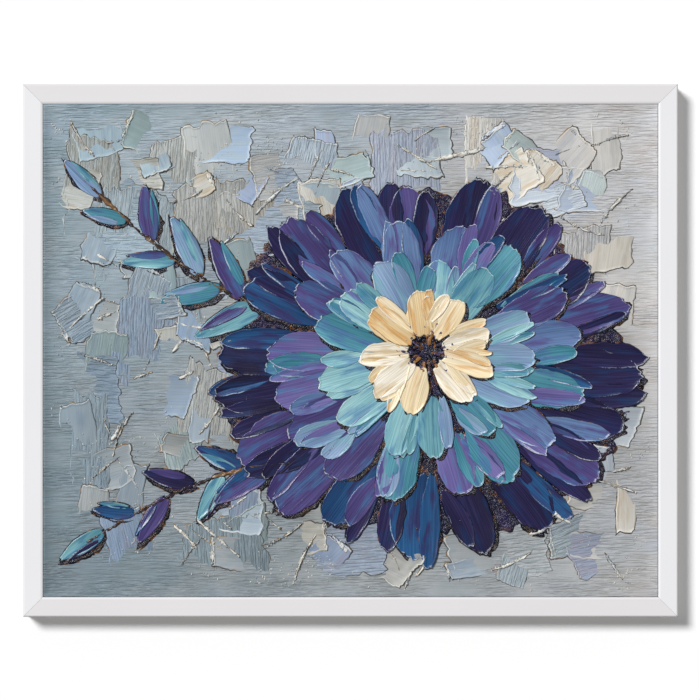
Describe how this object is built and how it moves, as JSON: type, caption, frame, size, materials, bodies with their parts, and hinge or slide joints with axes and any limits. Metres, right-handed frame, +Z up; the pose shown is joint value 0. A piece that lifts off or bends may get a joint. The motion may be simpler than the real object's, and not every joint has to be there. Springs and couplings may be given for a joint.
{
  "type": "framed painting",
  "caption": "Wall-hung framed painting: white mitred wood frame around a stretched canvas with thick knife-laid paint, a round bloom and leaf sprays in violet, blue, aqua and cream.",
  "frame": {"origin": "centre of the whole object's box, from the frame's front face to the bumpers' backs", "axes": "+X along the width to the viewer's right, +Y backwards to the wall (the picture faces -Y), +Z up"},
  "size_m": [0.536, 0.0294, 0.436],
  "materials": {
    "frame_lacquer": "white satin lacquer sprayed over mitred wood",
    "stretcher_pine": "bare planed pine",
    "key_beech": "bare sawn beech",
    "canvas_cloth": "plain-woven cotton canvas, primed on its front",
    "paint_ground": "thick dried paint, blue-grey and greige, knife-combed",
    "paint_violet": "thick dried paint, navy and violet, satin",
    "paint_blue": "thick dried paint, periwinkle and cornflower, satin",
    "paint_aqua": "thick dried paint, teal and aqua, satin",
    "paint_cream": "thick dried paint, cream and ivory, satin",
    "paint_dark": "thick dried paint, near black with ochre specks",
    "paint_teal": "thick dried paint, teal to deep violet, satin",
    "zinc_steel": "zinc-plated pressed steel",
    "brass_plate": "brass-plated pressed steel",
    "bumper_rubber": "translucent pale rubber"
  },
  "bodies": {
    "root": {"frame_rail_top": "frame_lacquer", "frame_rail_right": "frame_lacquer", "frame_rail_bottom": "frame_lacquer", "frame_rail_left": "frame_lacquer", "stretcher_bar_top": "stretcher_pine", "stretcher_bar_right": "stretcher_pine", "stretcher_bar_bottom": "stretcher_pine", "stretcher_bar_left": "stretcher_pine", "corner_key_top_a": "key_beech", "corner_key_top_b": "key_beech", "corner_key_right_a": "key_beech", "corner_key_right_b": "key_beech", "corner_key_bottom_a": "key_beech", "corner_key_bottom_b": "key_beech", "corner_key_left_a": "key_beech", "corner_key_left_b": "key_beech", "canvas": "canvas_cloth", "paint_ground": "paint_ground", "petals_outer": "paint_violet", "petals_second": "paint_blue", "petals_third": "paint_aqua", "petals_inner": "paint_cream", "bloom_heart": "paint_dark", "leaf_spray_upper": "paint_teal", "leaf_spray_lower": "paint_teal", "canvas_clip_top_a": "zinc_steel", "clip_screw_top_a": "zinc_steel", "canvas_clip_top_b": "zinc_steel", "clip_screw_top_b": "zinc_steel", "canvas_clip_right": "zinc_steel", "clip_screw_right": "zinc_steel", "canvas_clip_bottom_a": "zinc_steel", "clip_screw_bottom_a": "zinc_steel", "canvas_clip_bottom_b": "zinc_steel", "clip_screw_bottom_b": "zinc_steel", "canvas_clip_left": "zinc_steel", "clip_screw_left": "zinc_steel", "sawtooth_hanger": "brass_plate", "hanger_nail_left": "brass_plate", "hanger_nail_right": "brass_plate", "bumper_left": "bumper_rubber", "bumper_right": "bumper_rubber"}
  },
  "joints": []
}
